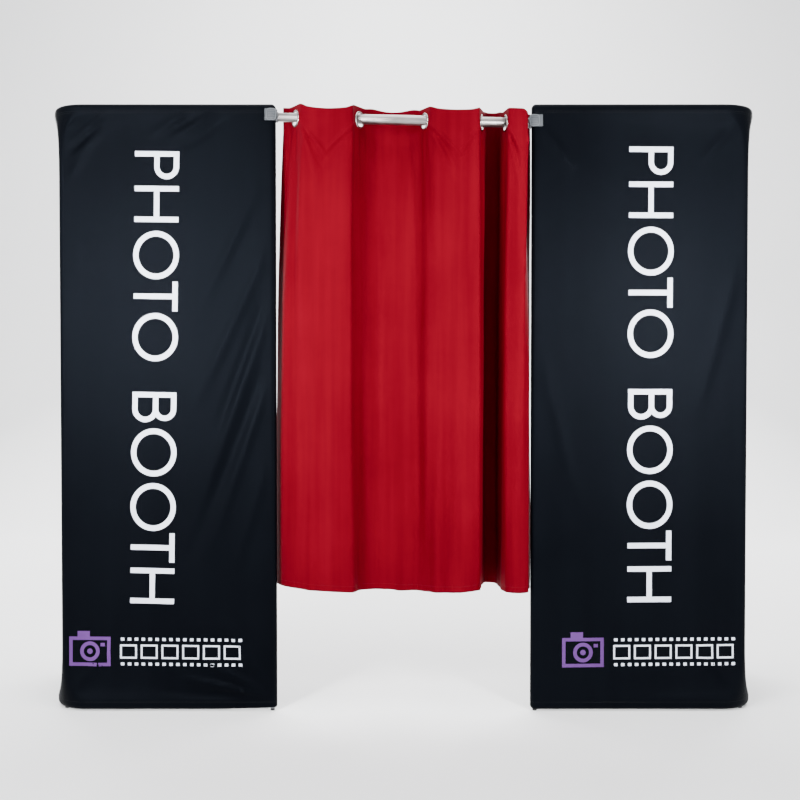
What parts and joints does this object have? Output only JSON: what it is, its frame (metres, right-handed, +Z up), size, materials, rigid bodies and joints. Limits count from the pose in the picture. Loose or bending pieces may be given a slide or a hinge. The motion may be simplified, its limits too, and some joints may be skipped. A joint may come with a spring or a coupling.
{
  "type": "photo booth",
  "caption": "Free-standing photo booth: two L-shaped tube wings in stretch-fabric covers, joined by a telescopic rod that carries a draw curtain.",
  "frame": {"origin": "centre of the footprint's bounding box, on the floor", "axes": "+X across the front towards the right wing, +Y from front to rear, +Z up"},
  "size_m": [2.496, 0.6776, 2.1337],
  "materials": {
    "cover_fabric": "black stretch polyester, soft sheen",
    "curtain_fabric": "red woven polyester, matt with a faint sheen",
    "frame_tube": "satin anodised",
    "rod_tube": "satin brushed",
    "grey_plastic": "moulded grey",
    "foot_rubber": "black moulded",
    "grommet_metal": "bright nickel-plated",
    "small_steel": "plated"
  },
  "bodies": {
    "right_wing": {"right_cover": "cover_fabric", "right_inner_post_lower": "frame_tube", "right_inner_post_upper": "frame_tube", "right_corner_post_lower": "frame_tube", "right_corner_post_upper": "frame_tube", "right_rear_post_lower": "frame_tube", "right_rear_post_upper": "frame_tube", "right_bottom_front_rail": "frame_tube", "right_bottom_side_rail": "frame_tube", "right_bottom_inner_connector": "grey_plastic", "right_bottom_rear_connector": "grey_plastic", "right_top_front_rail": "frame_tube", "right_top_side_rail": "frame_tube", "right_top_inner_connector": "grey_plastic", "right_top_rear_connector": "grey_plastic", "right_inner_foot": "foot_rubber", "right_corner_foot": "foot_rubber", "right_rear_foot": "foot_rubber"},
    "right_inner_button": {"right_inner_button": "small_steel"},
    "right_corner_button": {"right_corner_button": "small_steel"},
    "right_rear_button": {"right_rear_button": "small_steel"},
    "right_zip_slider": {"right_zip_slider": "small_steel"},
    "right_zip_pull": {"right_zip_pull": "small_steel"},
    "left_wing": {"left_cover": "cover_fabric", "left_inner_post_lower": "frame_tube", "left_inner_post_upper": "frame_tube", "left_corner_post_lower": "frame_tube", "left_corner_post_upper": "frame_tube", "left_rear_post_lower": "frame_tube", "left_rear_post_upper": "frame_tube", "left_bottom_front_rail": "frame_tube", "left_bottom_side_rail": "frame_tube", "left_bottom_inner_connector": "grey_plastic", "left_bottom_rear_connector": "grey_plastic", "left_top_front_rail": "frame_tube", "left_top_side_rail": "frame_tube", "left_top_inner_connector": "grey_plastic", "left_top_rear_connector": "grey_plastic", "left_inner_foot": "foot_rubber", "left_corner_foot": "foot_rubber", "left_rear_foot": "foot_rubber"},
    "left_inner_button": {"left_inner_button": "small_steel"},
    "left_corner_button": {"left_corner_button": "small_steel"},
    "left_rear_button": {"left_rear_button": "small_steel"},
    "left_zip_slider": {"left_zip_slider": "small_steel"},
    "left_zip_pull": {"left_zip_pull": "small_steel"},
    "rod_outer": {"rod_outer_tube": "rod_tube", "right_clamp": "grey_plastic", "curtain": "curtain_fabric", "grommet_6": "grommet_metal"},
    "rod_inner": {"rod_inner_tube": "rod_tube", "left_clamp": "grey_plastic"},
    "lock_collar": {"rod_lock_collar": "grey_plastic"},
    "grommet_1": {"grommet_1": "grommet_metal"},
    "grommet_2": {"grommet_2": "grommet_metal"},
    "grommet_3": {"grommet_3": "grommet_metal"},
    "grommet_4": {"grommet_4": "grommet_metal"},
    "grommet_5": {"grommet_5": "grommet_metal"}
  },
  "joints": [
    {"name": "door_width", "type": "slide", "parent": "right_wing", "child": "left_wing", "axis": [-1, 0, 0], "range_m": [0, 0.3]},
    {"name": "rod_height", "type": "slide", "parent": "right_wing", "child": "rod_outer", "axis": [0, 0, 1], "range_m": [-0.4, 0]},
    {"name": "rod_telescope", "type": "slide", "parent": "rod_outer", "child": "rod_inner", "axis": [-0.9997, 0, 0.0228], "range_m": [0, 0.301]},
    {"name": "collar_twist", "type": "hinge", "parent": "rod_outer", "child": "lock_collar", "pos_m": [-0.25, -0.25442, 2.0847], "axis": [0.9997, 0, -0.0228], "range_deg": [0, 90]},
    {"name": "curtain_draw", "type": "slide", "parent": "rod_outer", "child": "grommet_1", "axis": [0.9997, 0, -0.0228], "range_m": [0, 0.5], "deforming": ["curtain"]},
    {"name": "grommet_2_slide", "type": "slide", "parent": "rod_outer", "child": "grommet_2", "axis": [0.9997, 0, -0.0228], "range_m": [0, 0.35905]},
    {"name": "grommet_3_slide", "type": "slide", "parent": "rod_outer", "child": "grommet_3", "axis": [0.9997, 0, -0.0228], "range_m": [0, 0.21753]},
    {"name": "grommet_4_slide", "type": "slide", "parent": "rod_outer", "child": "grommet_4", "axis": [0.9997, 0, -0.0228], "range_m": [0, 0.09155]},
    {"name": "grommet_5_slide", "type": "slide", "parent": "rod_outer", "child": "grommet_5", "axis": [0.9997, 0, -0.0228], "range_m": [0, 0.03995]},
    {"name": "right_zip", "type": "slide", "parent": "right_wing", "child": "right_zip_slider", "axis": [1, 0, 0], "range_m": [0, 0.55]},
    {"name": "right_zip_pull_swing", "type": "hinge", "parent": "right_zip_slider", "child": "right_zip_pull", "pos_m": [0.5338, -0.22942, 0.0265], "axis": [1, 0, 0], "range_deg": [0, 150]},
    {"name": "right_inner_button_press", "type": "slide", "parent": "right_wing", "child": "right_inner_button", "axis": [-1, 0, 0], "range_m": [0, 0.004], "stiffness_N_per_m": 400, "springref_m": -0.003},
    {"name": "right_corner_button_press", "type": "slide", "parent": "right_wing", "child": "right_corner_button", "axis": [1, 0, 0], "range_m": [0, 0.004], "stiffness_N_per_m": 400, "springref_m": -0.003},
    {"name": "right_rear_button_press", "type": "slide", "parent": "right_wing", "child": "right_rear_button", "axis": [0, 1, 0], "range_m": [0, 0.004], "stiffness_N_per_m": 400, "springref_m": -0.003},
    {"name": "left_zip", "type": "slide", "parent": "left_wing", "child": "left_zip_slider", "axis": [-1, 0, 0], "range_m": [0, 0.55]},
    {"name": "left_zip_pull_swing", "type": "hinge", "parent": "left_zip_slider", "child": "left_zip_pull", "pos_m": [-0.5338, -0.22942, 0.0265], "axis": [1, 0, 0], "range_deg": [0, 150]},
    {"name": "left_inner_button_press", "type": "slide", "parent": "left_wing", "child": "left_inner_button", "axis": [1, 0, 0], "range_m": [0, 0.004], "stiffness_N_per_m": 400, "springref_m": -0.003},
    {"name": "left_corner_button_press", "type": "slide", "parent": "left_wing", "child": "left_corner_button", "axis": [-1, 0, 0], "range_m": [0, 0.004], "stiffness_N_per_m": 400, "springref_m": -0.003},
    {"name": "left_rear_button_press", "type": "slide", "parent": "left_wing", "child": "left_rear_button", "axis": [0, 1, 0], "range_m": [0, 0.004], "stiffness_N_per_m": 400, "springref_m": -0.003}
  ],
  "couplings": [
    {"joint": "rod_telescope", "follows": "door_width", "ratio": 1},
    {"joint": "grommet_2_slide", "follows": "curtain_draw", "ratio": 0.7171},
    {"joint": "grommet_3_slide", "follows": "curtain_draw", "ratio": 0.43406},
    {"joint": "grommet_4_slide", "follows": "curtain_draw", "ratio": 0.18209},
    {"joint": "grommet_5_slide", "follows": "curtain_draw", "ratio": 0.078898}
  ]
}
